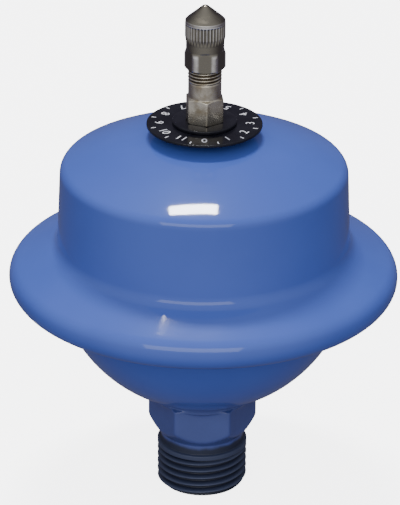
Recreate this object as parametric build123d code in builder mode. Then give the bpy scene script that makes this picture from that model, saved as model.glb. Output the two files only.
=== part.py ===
"""Small diaphragm water hammer arrestor: two pressed steel shells joined at a rolled brim,
a rubber diaphragm clamped between them, a threaded water connector below and a charging
valve with a metal cap on top. Millimetres, +Z up, origin at the centre of the connector's
lower end face."""
from build123d import *
from math import asin, atan2, cos, degrees, radians, sin, sqrt
import os

os.makedirs("parts", exist_ok=True)

# Clearances
seat_gap = 0.02          # faces that rest on each other
thread_gap = 0.05        # screwed fits, radial
cap_gap = 0.2            # cap bore over the valve thread, radial
rubber_gap = 0.35        # diaphragm from the steel around it
flange_gap = 0.1         # flange's edge from the roll

# Pressed shells
sheet = 1.25             # steel thickness
bowl_radius = 34.3       # outside of the lower half ball
bowl_sink = 1.4          # ball's lowest point below the hexagon's top
bowl_bend = 2.0          # bend between bowl and flange
wall_inset = 0.9         # dome wall's foot inside the ball's radius
wall_draft = 2.4         # degrees, the wall narrows upwards
dome_height = 34.85      # crown above the roll's centre
crown_radius = 70.0      # shallow top of the dome
shoulder_radius = 2.8    # between crown and wall
foot_radius = 3.0        # between wall and brim
brim_width = 10.3        # brim's edge outside the ball's radius
brim_tilt = 25.4         # degrees, the brim's top falls outwards
roll_radius = 3.9        # outside of the rolled edge
roll_drop = 2.65         # roll's centre below the ball's centre
curl = 20.0              # degrees that the lip passes the roll's lowest point

# Thread form, as shares of the pitch and depths in millimetres
ridge_foot = 0.40        # half width at the root
ridge_crest = 0.11       # half width where the crest's rounding starts
crest_rise = 0.12        # height of the rounding
ridge_sink = 0.08        # ridge's foot inside its root cylinder

# Water connector
thread_radius = 10.4775  # G 1/2 crest
thread_pitch = 25.4 / 14
thread_depth = 1.162
thread_length = 9.9      # helical part
land_length = 0.8        # plain part above the helix
lead_chamfer = 1.0
neck_radius = 9.75
neck_length = 2.5        # from the land to the hexagon
hex_flats = 22.0
hex_cone = 3.75          # height of the turned cone under the hexagon
hex_height = 10.2        # with the cone
hex_bevel = 1.0          # turned edge at the hexagon's top
turn_reach = 0.2         # turned outline past the hexagon's corners
bore_radius = 6.5
pilot_wall = 1.5         # spigot standing in the bowl's hole
weld_fillet = 2.5
weld_inset = 0.6         # weld fillet's radius beyond the hexagon's flats
weld_bite = 0.15         # weld fillet into the ball

# Diaphragm
rubber = 1.8
bead_inset = 1.9         # bead's bore outside the ball's radius
bead_height = 2.9
bead_edge = 0.3          # bead's rim inside the flange's edge
bead_lap = 0.5           # web into the bead
hub_radius = 12.0        # thick middle of the diaphragm
hub_height = 4.4
button_radius = 9.0
button_height = 1.6
button_cover = 0.5       # rubber under the button
button_bevel = 0.4

# Valve seat on the crown
boss_radius = 6.0
boss_rise = 1.6          # boss above the crown
boss_height = 7.0
boss_flange = 8.0
boss_flange_height = 1.6
boss_bevel = 0.3
disc_radius = 13.1
disc_height = 0.6
washer_radius = 7.3
washer_height = 0.8
tail_radius = 4.0
tail_length = 9.0
oring_wire = 0.75        # radius of the seal ring's section
oring_height = 1.6       # seal ring above the boss's foot

# Valve stem
stem_hex_height = 5.8
stem_hex_bevel = 0.5
stem_foot_bevel = 0.3
stem_reach = 0.1         # turned outlines past the hexagon's corners and the shank
stem_hex_turn = -23.5    # degrees about +Z
stem_radius = 3.84       # valve thread crest
shank_inset = 0.07       # smooth part above the hexagon, inside the crest
shank_radius = stem_radius - shank_inset
stem_face = 0.23         # hexagon's faces outside the smooth part
stem_flats = 2 * (shank_radius + stem_face)
stem_pitch = 25.4 / 32
stem_depth = 0.42
stem_plain = 3.4         # smooth length above the hexagon
stem_height = 23.0       # from the hexagon's foot to the mouth
gas_bore = 1.3

# Valve core
core_drop = 0.8          # housing top below the stem's mouth
core_head = 4.4
core_flat = 1.5          # height of the key flats
barrel_radius = 1.72
barrel_wall = 0.44
barrel_bore = barrel_radius - barrel_wall
key_wall = 0.22          # plug's wall at the key flats
core_key = barrel_bore + key_wall
barrel_length = 5.8
ledge_height = 0.8       # spring's seat at the barrel's foot
ledge_width = 0.43
ledge_bore = barrel_bore - ledge_width
gasket_height = 1.6
gasket_cone = 1.0        # height of the conical seat
gasket_room = 0.33       # between the barrel and the stem's narrow bore
seat_bore = barrel_radius + gasket_room
seat_width = 0.55        # conical seat of the gasket, across
core_bore = seat_bore + seat_width
cup_room = 0.5           # free space under the opened cup
pin_radius = 0.4
pin_drop = 0.3           # pin top below the stem's mouth
pin_stroke = 1.5
collar_gap = 0.08        # pin's collar in the barrel's bore, radial
collar_radius = barrel_bore - collar_gap
collar_height = 0.6
collar_drop = 0.3        # collar below the housing's top
cup_radius = 1.5
cup_height = 2.0
cup_wall = 0.15
cup_rim = 0.14           # seal standing proud of the cup
seat_seal_height = 0.62
spring_wire = 0.16
spring_turns = 7
spring_gap = 0.04        # wire from the barrel's bore

# Cap
cap_bore = stem_radius + cap_gap
flat_wall = 0.16         # outside of the cap from its bore
corner_wall = 0.62
waist_wall = 0.27
grip_wall = 0.52
lip_wall = 0.46
shoulder_inset = 0.5     # cone's foot inside the lip
cap_flats = 2 * (cap_bore + flat_wall)
cap_corner = cap_bore + corner_wall
cap_waist = cap_bore + waist_wall
cap_grip = cap_bore + grip_wall
cap_lip = cap_bore + lip_wall
cap_shoulder = cap_lip - shoulder_inset
cap_flat_height = 3.4
cap_foot_bevel = 0.25
cap_flare = 1.0          # height over which the corners fall to the waist
waist_height = 1.7
swell_height = 1.6       # height over which the waist widens to the grip
grip_height = 3.0
lip_height = 0.6
lip_bevel = 0.5
cone_height = 3.0
cap_waist_top = cap_flat_height + cap_flare + waist_height
cap_grip_full = cap_waist_top + swell_height
cap_grip_top = cap_grip_full + grip_height
cap_lip_top = cap_grip_top + lip_height
cap_cone_foot = cap_lip_top + lip_bevel
cap_height = cap_cone_foot + cone_height
cap_tip = 1.3
cap_tip_lean = 20.0      # degrees, the cone steeper than the line to the tip's centre
cap_depth = 11.32        # mouth to ceiling
cap_ridges = 36
ridge_depth = 0.2
ridge_width = 0.68
cap_mouth_bevel = 0.2
seal_height = 1.0
seal_inset = 0.1

# Places that follow
land_z = thread_length + land_length
hex_z = land_z + neck_length
hex_top = hex_z + hex_height
bowl_z = hex_top - bowl_sink + bowl_radius
hole_radius = bore_radius + pilot_wall
wall_radius = bowl_radius - wall_inset
roll_z = bowl_z - roll_drop
roll_x = bowl_radius + brim_width - roll_radius
crown_z = roll_z + dome_height
flange_z = roll_z - (roll_radius - sheet) * cos(radians(curl)) + seat_gap
flange_radius = roll_x + (roll_radius - sheet) * sin(radians(curl)) - flange_gap
bead_z = flange_z + sheet + seat_gap
bead_inner = bowl_radius + bead_inset
bead_outer = flange_radius - bead_edge
boss_top = crown_z + boss_rise
boss_z = boss_top - boss_height
disc_z = boss_top + seat_gap
washer_z = disc_z + disc_height + seat_gap
stem_z = washer_z + washer_height + seat_gap
stem_top = stem_z + stem_height
plain_top = stem_z + stem_hex_height + stem_plain
head_z = stem_top - core_drop - core_head
barrel_z = head_z - barrel_length
cup_z = barrel_z - seat_gap - cup_rim - cup_height
seal_z = stem_top + seat_gap
cap_z = seal_z + seal_height + seat_gap - cap_depth


def bowl_lines(depth, inner, outer):
    """Section of bowl, bend and flange, moved inwards by depth, from radius inner to outer."""
    ball, bend = bowl_radius - depth, bowl_bend + depth
    bend_z = flange_z - bowl_bend
    bend_x = sqrt((bowl_radius + bowl_bend) ** 2 - (bowl_z - bend_z) ** 2)
    turn = degrees(atan2(bend_x, bowl_z - bend_z))
    start = degrees(asin(inner / ball))
    low = CenterArc((0, bowl_z), ball, start - 90, turn - start)
    CenterArc((bend_x, bend_z), bend, 90, turn)
    high = Line((bend_x, flange_z + depth), (outer, flange_z + depth))
    return low @ 0, high @ 1


def dome_centres():
    """Unit normals of wall and brim, and the centres of shoulder, foot and roll."""
    wall = Vector(cos(radians(wall_draft)), sin(radians(wall_draft)))
    brim = Vector(sin(radians(brim_tilt)), cos(radians(brim_tilt)))
    along = Vector(-wall.Y, wall.X)
    roll, crown = Vector(roll_x, roll_z), Vector(0, crown_z - crown_radius)
    brim_line = brim.dot(roll) + roll_radius
    wall_line = wall.dot(Vector(wall_radius, roll_z + roll_radius + 2 * foot_radius))
    start = wall * (wall_line - shoulder_radius) - crown
    reach = crown_radius - shoulder_radius
    slide = sqrt(start.dot(along) ** 2 - start.dot(start) + reach ** 2) - start.dot(along)
    shoulder = start + along * slide + crown
    out, up = wall_line + foot_radius, brim_line + foot_radius
    span = wall.X * brim.Y - wall.Y * brim.X
    foot = Vector((out * brim.Y - wall.Y * up) / span, (wall.X * up - brim.X * out) / span)
    return wall, brim, shoulder, foot, roll


def dome_lines(depth, inner):
    """Section of crown, shoulder, wall, foot, brim and roll, moved inwards by depth."""
    wall, brim, shoulder, foot, roll = dome_centres()
    centre = Vector(0, crown_z - crown_radius)
    turn = degrees(atan2(shoulder.Y - centre.Y, shoulder.X))
    start = 90 - degrees(asin(inner / (crown_radius - depth)))
    first = CenterArc(centre, crown_radius - depth, start, turn - start)
    CenterArc(shoulder, shoulder_radius - depth, turn, wall_draft - turn)
    Line(shoulder + wall * (shoulder_radius - depth), foot - wall * (foot_radius + depth))
    CenterArc(foot, foot_radius + depth, 180 + wall_draft, 90 - brim_tilt - wall_draft)
    Line(foot - brim * (foot_radius + depth), roll + brim * (roll_radius - depth))
    last = CenterArc(roll, roll_radius - depth, 90 - brim_tilt, brim_tilt - curl - 180)
    return first @ 0, last @ 1


def under_brim(radius, gap):
    """Height of the brim's underside, less a gap, at a radius."""
    wall, brim, shoulder, foot, roll = dome_centres()
    return (brim.dot(roll) + roll_radius - sheet - gap - brim.X * radius) / brim.Y


def thread_ridge(root, crest, pitch, low, high):
    """One helical ridge with a rounded crest, a little sunk into its root cylinder."""
    sunk, flank = root - ridge_sink, crest - crest_rise
    half, top = pitch * ridge_foot, pitch * ridge_crest
    with BuildPart() as ridge:
        with BuildLine() as track:
            Helix(pitch=pitch, height=high - low, radius=root, center=(0, 0, low))
        with BuildSketch(Plane.XZ):
            with BuildLine():
                Line((sunk, low - half), (flank, low - top))
                ThreePointArc((flank, low - top), (crest, low), (flank, low + top))
                Line((flank, low + top), (sunk, low + half))
                Line((sunk, low + half), (sunk, low - half))
            make_face()
        sweep(path=track.wires()[0], is_frenet=True)
    return ridge.part


# Lower shell: half ball with a hole for the connector and a flat flange
with BuildPart() as lower_shell:
    with BuildSketch(Plane.XZ):
        with BuildLine():
            out_low, out_high = bowl_lines(0, hole_radius + seat_gap, flange_radius)
            in_low, in_high = bowl_lines(sheet, hole_radius + seat_gap, flange_radius)
            Line(out_low, in_low)
            Line(out_high, in_high)
        make_face()
    revolve(axis=Axis.Z)
lower_shell.part.label = "lower_shell"
export_step(lower_shell.part, "parts/lower_shell.step")

# Upper shell: dome and brim, rolled round the lower shell's flange
with BuildPart() as upper_shell:
    with BuildSketch(Plane.XZ):
        with BuildLine():
            out_low, out_high = dome_lines(0, boss_radius + seat_gap)
            in_low, in_high = dome_lines(sheet, boss_radius + seat_gap)
            Line(out_low, in_low)
            Line(out_high, in_high)
        make_face()
    revolve(axis=Axis.Z)
upper_shell.part.label = "upper_shell"
export_step(upper_shell.part, "parts/upper_shell.step")

# Water connector, lower end: threaded rod with a chamfered lead and a plain land
thread_root = thread_radius - thread_depth
with BuildPart() as threaded_end:
    with BuildSketch(Plane.XY):
        Circle(thread_root)
    extrude(amount=land_z)
    add(thread_ridge(thread_root, thread_radius - seat_gap, thread_pitch,
                     -thread_pitch, thread_length))
    with BuildSketch(Plane.XY.offset(thread_length)):
        Circle(thread_radius)
    extrude(amount=land_length)
    with BuildSketch(Plane.XZ):
        Polygon((0, 0), (thread_radius - lead_chamfer, 0),
                (2 * thread_radius, thread_radius + lead_chamfer), (2 * thread_radius, land_z),
                (0, land_z), align=None)
    revolve(axis=Axis.Z, mode=Mode.INTERSECT)

# Water connector: hexagon with turned ends, welding collar, pilot, neck and bore
with BuildPart() as water_connector:
    corner = hex_flats / sqrt(3)
    edge = corner + turn_reach
    with BuildSketch(Plane.XY.offset(hex_z)):
        RegularPolygon(hex_flats / 2, 6, major_radius=False)
    extrude(amount=hex_height)
    with BuildSketch(Plane.XZ):
        Polygon((0, hex_z), (neck_radius, hex_z), (edge, hex_z + hex_cone),
                (edge, hex_top - hex_bevel), (edge - 2 * hex_bevel, hex_top), (0, hex_top),
                align=None)
    revolve(axis=Axis.Z, mode=Mode.INTERSECT)
    weld_radius = hex_flats / 2 + weld_inset
    weld_x = weld_radius + weld_fillet
    weld_z = bowl_z - sqrt((bowl_radius + weld_fillet - weld_bite) ** 2 - weld_x ** 2)
    with BuildSketch(Plane.XZ):
        with BuildLine():
            lean = degrees(atan2(bowl_z - weld_z, weld_x))
            rise = CenterArc((weld_x, weld_z), weld_fillet, 180, -lean)
            Polyline(rise @ 1, (0, (rise @ 1).Y), (0, weld_z), rise @ 0)
        make_face()
    revolve(axis=Axis.Z)
    with Locations((0, 0, bowl_z)):
        Sphere(bowl_radius + seat_gap, mode=Mode.SUBTRACT)
    pilot_top = bowl_z - sqrt((bowl_radius - sheet - rubber_gap) ** 2 - bore_radius ** 2)
    pilot_top -= rubber_gap
    with BuildSketch(Plane.XY.offset(land_z)):
        Circle(neck_radius)
    extrude(amount=neck_length)
    with BuildSketch(Plane.XY.offset(hex_z)):
        Circle(hole_radius)
    extrude(amount=pilot_top - hex_z)
    add(threaded_end.part)
    with BuildSketch(Plane.XY):
        Circle(bore_radius)
    extrude(amount=pilot_top, mode=Mode.SUBTRACT)
water_connector.part.label = "water_connector"
export_step(water_connector.part, "parts/water_connector.step")

# Diaphragm: bead, web that lines the bowl, thick middle with a pocket for the button
liner = sheet + rubber_gap
hub_z = bowl_z - sqrt((bowl_radius - liner) ** 2 - button_radius ** 2)
hub_foot = bowl_z - sqrt((bowl_radius - liner) ** 2 - hub_radius ** 2)
button_z = hub_z + button_cover
with BuildPart() as diaphragm:
    with BuildSketch(Plane.XZ):
        with BuildLine():
            out_low, out_high = bowl_lines(liner, 0, bead_inner + bead_lap)
            in_low, in_high = bowl_lines(liner + rubber, 0, bead_inner + bead_lap)
            Line(out_low, in_low)
            Line(out_high, in_high)
        make_face()
        with BuildLine():
            Polyline((bead_inner, bead_z), (bead_outer, bead_z), (bead_outer, bead_z + bead_height),
                     (bead_inner, bead_z + bead_height), close=True)
        make_face()
    revolve(axis=Axis.Z)
    with BuildSketch(Plane.XY.offset(hub_z)):
        Circle(button_radius)
    extrude(amount=hub_height)
    with BuildSketch(Plane.XY.offset(hub_foot)):
        Circle(hub_radius)
    extrude(amount=hub_z + hub_height - hub_foot)
    with BuildSketch(Plane.XY.offset(hub_z - 2 * rubber)):
        Circle(hub_radius)
    extrude(amount=2 * rubber, mode=Mode.SUBTRACT)
    with BuildSketch(Plane.XY.offset(button_z - seat_gap)):
        Circle(button_radius + seat_gap)
    extrude(amount=button_height + 2 * seat_gap, mode=Mode.SUBTRACT)
diaphragm.part.label = "diaphragm"
export_step(diaphragm.part, "parts/diaphragm.step")

# Backing button moulded into the diaphragm's middle
with BuildPart() as diaphragm_button:
    with BuildSketch(Plane.XY.offset(button_z)):
        Circle(button_radius)
    extrude(amount=button_height)
    chamfer(diaphragm_button.edges().group_by(Axis.Z)[-1], button_bevel)
diaphragm_button.part.label = "diaphragm_button"
export_step(diaphragm_button.part, "parts/diaphragm_button.step")

# Clamp ring between the bead and the brim's underside
with BuildPart() as clamp_ring:
    with BuildSketch(Plane.XZ):
        ring_z = bead_z + bead_height + seat_gap
        Polygon((bead_inner, ring_z), (bead_outer, ring_z),
                (bead_outer, under_brim(bead_outer, seat_gap)),
                (bead_inner, under_brim(bead_inner, seat_gap)), align=None)
    revolve(axis=Axis.Z)
clamp_ring.part.label = "clamp_ring"
export_step(clamp_ring.part, "parts/clamp_ring.step")

# Boss welded in the crown, flange inside
with BuildPart() as valve_boss:
    with BuildSketch(Plane.XZ):
        under = crown_z - crown_radius + sqrt((crown_radius - sheet) ** 2 - boss_flange ** 2)
        under -= seat_gap
        Polygon((tail_radius + thread_gap, boss_z), (boss_radius, boss_z),
                (boss_radius, under - boss_flange_height), (boss_flange, under - boss_flange_height),
                (boss_flange, under), (boss_radius, under), (boss_radius, boss_top - boss_bevel),
                (boss_radius - boss_bevel, boss_top), (tail_radius + thread_gap, boss_top), align=None)
    revolve(axis=Axis.Z)
valve_boss.part.label = "valve_boss"
export_step(valve_boss.part, "parts/valve_boss.step")

# Pressure disc and the washer under the valve's hexagon
with BuildPart() as rating_disc:
    with BuildSketch(Plane.XY.offset(disc_z)):
        Circle(disc_radius)
        Circle(tail_radius + 2 * thread_gap, mode=Mode.SUBTRACT)
    extrude(amount=disc_height)
    rim = rating_disc.edges().filter_by(GeomType.CIRCLE).sort_by(SortBy.RADIUS)[-2:]
    chamfer(rim, disc_height / 5)
rating_disc.part.label = "rating_disc"
export_step(rating_disc.part, "parts/rating_disc.step")

with BuildPart() as hub_washer:
    with BuildSketch(Plane.XY.offset(washer_z)):
        Circle(washer_radius)
        Circle(tail_radius + 2 * thread_gap, mode=Mode.SUBTRACT)
    extrude(amount=washer_height)
    outer = hub_washer.edges().filter_by(GeomType.CIRCLE).group_by(Axis.Z)[-1]
    chamfer(outer.sort_by(SortBy.RADIUS)[-1], washer_height / 3)
hub_washer.part.label = "hub_washer"
export_step(hub_washer.part, "parts/hub_washer.step")

# Seal ring round the valve's tail, inside the boss
oring_radius = tail_radius + thread_gap - oring_wire - seat_gap
oring_z = boss_z + oring_height
with BuildPart() as valve_oring:
    with Locations((0, 0, oring_z)):
        Torus(oring_radius, oring_wire)
valve_oring.part.label = "valve_oring"
export_step(valve_oring.part, "parts/valve_oring.step")

# Valve stem: tail with a seal groove, hexagon, plain shank and valve thread, with its bores
stem_root = stem_radius - stem_depth
with BuildPart() as stem_rod:
    with BuildSketch(Plane.XY.offset(plain_top - stem_pitch)):
        Circle(stem_root)
    extrude(amount=stem_top - plain_top + stem_pitch)
    add(thread_ridge(stem_root, stem_radius, stem_pitch, plain_top, stem_top + stem_pitch))
    with BuildSketch(Plane.XZ):
        Polygon((0, plain_top - stem_pitch), (2 * stem_radius, plain_top - stem_pitch),
                (2 * stem_radius, stem_top + stem_root - 2 * stem_radius), (stem_root, stem_top),
                (0, stem_top), align=None)
    revolve(axis=Axis.Z, mode=Mode.INTERSECT)

with BuildPart() as valve_stem:
    stem_corner = stem_flats / sqrt(3)
    hex_end = stem_z + stem_hex_height
    with BuildSketch(Plane.XY.offset(stem_z)):
        RegularPolygon(stem_flats / 2, 6, major_radius=False, rotation=stem_hex_turn)
    extrude(amount=stem_hex_height)
    with BuildSketch(Plane.XZ):
        reach = stem_corner + stem_reach
        Polygon((0, stem_z), (reach - stem_foot_bevel, stem_z), (reach, stem_z + stem_foot_bevel),
                (reach, hex_end - stem_hex_bevel), (shank_radius + stem_reach, hex_end),
                (0, hex_end), align=None)
    revolve(axis=Axis.Z, mode=Mode.INTERSECT)
    with BuildSketch(Plane.XY.offset(hex_end)):
        Circle(shank_radius)
    extrude(amount=stem_plain)
    with BuildSketch(Plane.XY.offset(stem_z)):
        Circle(tail_radius)
    extrude(amount=-tail_length)
    add(stem_rod.part)
    with BuildSketch(Plane.XZ):
        with Locations((oring_radius + oring_wire, oring_z)):
            Rectangle(4 * oring_wire + 2 * seat_gap, 2.4 * oring_wire)
    revolve(axis=Axis.Z, mode=Mode.SUBTRACT)
    with BuildSketch(Plane.XZ):
        room_z = cup_z - pin_stroke - cup_room
        cone_z = head_z - gasket_height
        Polygon((0, stem_z - tail_length), (gas_bore, stem_z - tail_length), (gas_bore, room_z),
                (seat_bore, room_z), (seat_bore, cone_z), (core_bore, cone_z + gasket_cone),
                (core_bore, stem_top), (0, stem_top), align=None)
    revolve(axis=Axis.Z, mode=Mode.SUBTRACT)
valve_stem.part.label = "valve_stem"
export_step(valve_stem.part, "parts/valve_stem.step")

# Valve core plug: threaded head with two flats for the key
core_top = stem_top - core_drop
with BuildPart() as core_plug:
    plug_radius = core_bore - thread_gap
    with BuildSketch(Plane.XY.offset(head_z)):
        Circle(plug_radius)
        Circle(barrel_bore, mode=Mode.SUBTRACT)
    extrude(amount=core_head)
    with BuildSketch(Plane.XY.offset(core_top)):
        with Locations((0, core_key + plug_radius), (0, -core_key - plug_radius)):
            Rectangle(2 * core_bore, 2 * plug_radius)
    extrude(amount=-core_flat, mode=Mode.SUBTRACT)
core_plug.part.label = "core_plug"
export_step(core_plug.part, "parts/core_plug.step")

# Valve core barrel under the plug, with the spring's ledge
with BuildPart() as core_barrel:
    with BuildSketch(Plane.XZ):
        neck_z = head_z - seat_gap
        Polygon((ledge_bore, barrel_z), (barrel_radius, barrel_z), (barrel_radius, neck_z),
                (barrel_bore, neck_z), (barrel_bore, barrel_z + ledge_height),
                (ledge_bore, barrel_z + ledge_height), align=None)
    revolve(axis=Axis.Z)
core_barrel.part.label = "core_barrel"
export_step(core_barrel.part, "parts/core_barrel.step")

# Sealing cone of the core, on the stem's conical seat
with BuildPart() as core_gasket:
    with BuildSketch(Plane.XZ):
        inside, foot = barrel_radius + seat_gap, cone_z + 2 * seat_gap
        wide = core_bore - 2 * seat_gap
        Polygon((inside, foot), (seat_bore - seat_gap, foot), (wide, foot + gasket_cone),
                (wide, head_z - seat_gap), (inside, head_z - seat_gap), align=None)
    revolve(axis=Axis.Z)
core_gasket.part.label = "core_gasket"
export_step(core_gasket.part, "parts/core_gasket.step")

# Core pin with the collar that the spring lifts
collar_z = core_top - collar_height - collar_drop
with BuildPart() as core_pin:
    with BuildSketch(Plane.XY.offset(cup_z)):
        Circle(pin_radius)
    extrude(amount=stem_top - pin_drop - cup_z)
    with BuildSketch(Plane.XY.offset(collar_z)):
        Circle(collar_radius)
    extrude(amount=collar_height)
core_pin.part.label = "core_pin"
export_step(core_pin.part, "parts/core_pin.step")

# Cup on the pin's foot, and its rubber seal
with BuildPart() as core_cup:
    with BuildSketch(Plane.XZ):
        floor = cup_z + cup_height + cup_rim - seat_seal_height - seat_gap
        Polygon((pin_radius + seat_gap, cup_z), (cup_radius, cup_z), (cup_radius, cup_z + cup_height),
                (cup_radius - cup_wall, cup_z + cup_height), (cup_radius - cup_wall, floor),
                (pin_radius + seat_gap, floor), align=None)
    revolve(axis=Axis.Z)
core_cup.part.label = "core_cup"
export_step(core_cup.part, "parts/core_cup.step")

with BuildPart() as core_seat_seal:
    with BuildSketch(Plane.XY.offset(floor + seat_gap)):
        Circle(cup_radius - cup_wall - seat_gap)
        Circle(pin_radius + seat_gap, mode=Mode.SUBTRACT)
    extrude(amount=seat_seal_height)
core_seat_seal.part.label = "core_seat_seal"
export_step(core_seat_seal.part, "parts/core_seat_seal.step")

# Spring between the housing's ledge and the pin's collar
with BuildPart() as core_spring:
    coil = barrel_bore - spring_wire - spring_gap
    spring_z = barrel_z + ledge_height + spring_wire + seat_gap
    spring_end = collar_z - spring_wire - seat_gap
    with BuildLine() as coil_line:
        Helix(pitch=(spring_end - spring_z) / spring_turns, height=spring_end - spring_z,
              radius=coil, center=(0, 0, spring_z))
    with BuildSketch(Plane(coil_line.wires()[0] @ 0, z_dir=coil_line.wires()[0] % 0)):
        Circle(spring_wire)
    sweep(path=coil_line.wires()[0], is_frenet=True)
core_spring.part.label = "core_spring"
export_step(core_spring.part, "parts/core_spring.step")

# Cap: six flats, waist, ridged grip, lip and pointed top over a plain bore
with BuildPart() as cap_shell:
    with BuildSketch(Plane.XY.offset(cap_z)):
        RegularPolygon(cap_flats / 2, 6, major_radius=False)
    extrude(amount=cap_waist_top)
    with BuildSketch(Plane.XZ):
        flare = cap_z + cap_flat_height
        Polygon((0, cap_z), (cap_corner - cap_foot_bevel, cap_z),
                (cap_corner, cap_z + cap_foot_bevel), (cap_corner, flare),
                (cap_waist, flare + cap_flare), (cap_waist, cap_z + cap_waist_top),
                (0, cap_z + cap_waist_top), align=None)
    revolve(axis=Axis.Z, mode=Mode.INTERSECT)
    with BuildSketch(Plane.XZ):
        with BuildLine():
            tip_z = cap_z + cap_height - cap_tip
            slope = degrees(atan2(tip_z - cap_z - cap_cone_foot, cap_shoulder)) + cap_tip_lean
            tip = CenterArc((0, tip_z), cap_tip, 90, slope - 90)
            Polyline(tip @ 1, (cap_shoulder, cap_z + cap_cone_foot), (cap_lip, cap_z + cap_lip_top),
                     (cap_lip, cap_z + cap_grip_top), (cap_grip, cap_z + cap_grip_top),
                     (cap_grip, cap_z + cap_grip_full), (cap_waist, cap_z + cap_waist_top),
                     (cap_waist, flare + cap_flare), (0, flare + cap_flare), tip @ 0)
        make_face()
    revolve(axis=Axis.Z)
    with BuildSketch(Plane.XY.offset(cap_z + cap_grip_top)):
        with PolarLocations(0, cap_ridges):
            Polygon((cap_grip - ridge_depth, 0), (cap_grip + ridge_depth, ridge_width),
                    (cap_grip + ridge_depth, -ridge_width), align=None)
    extrude(amount=cap_waist_top - cap_grip_top, mode=Mode.SUBTRACT)
    with BuildSketch(Plane.XZ):
        Polygon((0, cap_z), (cap_bore + cap_mouth_bevel, cap_z), (cap_bore, cap_z + cap_mouth_bevel),
                (cap_bore, cap_z + cap_depth), (0, cap_z + cap_depth), align=None)
    revolve(axis=Axis.Z, mode=Mode.SUBTRACT)
cap_shell.part.label = "cap_shell"
export_step(cap_shell.part, "parts/cap_shell.step")

# Sealing disc under the cap's ceiling
with BuildPart() as cap_seal:
    with BuildSketch(Plane.XY.offset(seal_z)):
        Circle(cap_bore - seal_inset)
    extrude(amount=seal_height)
cap_seal.part.label = "cap_seal"
export_step(cap_seal.part, "parts/cap_seal.step")
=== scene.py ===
"""A small diaphragm water hammer arrestor: blue enamelled dome and bowl joined at a rolled brim,
a threaded hexagonal connector below, a black disc and a bright capped charging valve on top.
Shapes are worked out in millimetres round the frame's upright axis and stored in metres."""
from math import asin, atan2, ceil, cos, degrees, pi, radians, sin, sqrt, tan

import bmesh
import bpy
import numpy as np
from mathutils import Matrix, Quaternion, Vector


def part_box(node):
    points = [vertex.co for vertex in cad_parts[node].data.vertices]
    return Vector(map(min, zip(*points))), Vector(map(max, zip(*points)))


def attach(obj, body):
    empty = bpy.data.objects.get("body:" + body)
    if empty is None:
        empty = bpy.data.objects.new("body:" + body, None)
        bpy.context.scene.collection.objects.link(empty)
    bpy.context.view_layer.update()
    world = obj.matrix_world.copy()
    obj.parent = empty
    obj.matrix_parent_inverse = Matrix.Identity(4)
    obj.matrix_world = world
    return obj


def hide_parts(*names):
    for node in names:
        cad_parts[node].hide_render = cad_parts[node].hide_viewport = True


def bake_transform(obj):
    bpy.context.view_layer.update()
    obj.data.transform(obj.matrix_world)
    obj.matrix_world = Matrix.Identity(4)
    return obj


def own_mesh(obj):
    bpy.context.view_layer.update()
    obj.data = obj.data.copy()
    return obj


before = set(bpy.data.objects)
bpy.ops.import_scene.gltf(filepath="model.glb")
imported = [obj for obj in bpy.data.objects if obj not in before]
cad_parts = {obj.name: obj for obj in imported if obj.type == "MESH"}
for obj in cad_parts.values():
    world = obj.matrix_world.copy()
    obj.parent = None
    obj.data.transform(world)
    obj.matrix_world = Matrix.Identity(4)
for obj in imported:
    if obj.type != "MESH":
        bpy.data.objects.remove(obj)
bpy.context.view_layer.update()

MM = 0.001

# Camera: the picture is 400 by 505 pixels, and the axis point at AIM_HEIGHT shows at AXIS_PIXEL
PICTURE = (400, 505)
AXIS_PIXEL = (203.5, 277.86)
AIM_HEIGHT = 52.0
VIEW_DISTANCE = 754.0
VIEW_ELEVATION = 25.6
FOCAL_PIXELS = 3276.8
SENSOR = 36.0
CAMERA_ROLL = 0.43

# Pressed shells
SHEET = 1.25
BOWL_RADIUS = 34.3
BOWL_SINK = 1.4
BOWL_BEND = 2.0
WALL_INSET = 0.9
WALL_DRAFT = 2.4
DOME_HEIGHT = 34.85
CROWN_RADIUS = 70.0
SHOULDER_RADIUS = 2.8
FOOT_RADIUS = 3.0
BRIM_WIDTH = 10.3
BRIM_TILT = 25.4
ROLL_RADIUS = 3.9
ROLL_DROP = 2.65
CURL = 20.0
FLANGE_GAP = 0.1
SEAT_GAP = 0.02

# Water connector
THREAD_RADIUS = 10.4775
THREAD_PITCH = 25.4 / 14
THREAD_DEPTH = 1.162
THREAD_LENGTH = 9.9
LAND_LENGTH = 0.8
LEAD_CHAMFER = 1.0
NECK_RADIUS = 9.75
NECK_LENGTH = 2.5
HEX_FLATS = 22.0
HEX_CONE = 3.75
HEX_HEIGHT = 10.2
HEX_BEVEL = 1.0
BORE_RADIUS = 6.5
PILOT_WALL = 1.5
WELD_FILLET = 2.5
WELD_INSET = 0.6
WELD_SINK = 0.15
WELD_SLOPE = 1.3
RUNOUT = 0.7
RUNOUT_FADE = 0.6
NECK_FADE = 0.3
CORNER_SPARE = 0.2
BORE_BEVEL = 0.3

# Valve
BOSS_RADIUS = 6.0
BOSS_RISE = 1.6
DISC_RADIUS = 13.1
WASHER_RADIUS = 7.3
TAIL_RADIUS = 4.0
TAIL_LENGTH = 9.0
STEM_FLATS = 8.0
STEM_HEX_HEIGHT = 5.8
STEM_HEX_TURN = -23.5
STEM_RADIUS = 3.84
SHANK_RADIUS = 3.77
STEM_PITCH = 25.4 / 32
STEM_DEPTH = 0.42
STEM_PLAIN = 3.4
TAIL_GAP = 0.05
DISC_GAP = 0.1
BOSS_FILLET = 1.2
BOSS_COLLAR = 2.0
COLLAR_HEIGHT = 1.6
COLLAR_DROP = 1.7
RING_RISE = 1.6
RING_HALF = 0.9
RING_DEPTH = 1.5
CORE_BORE = 2.6
SEAT_BORE = 2.05
GAS_BORE = 1.3

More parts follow.
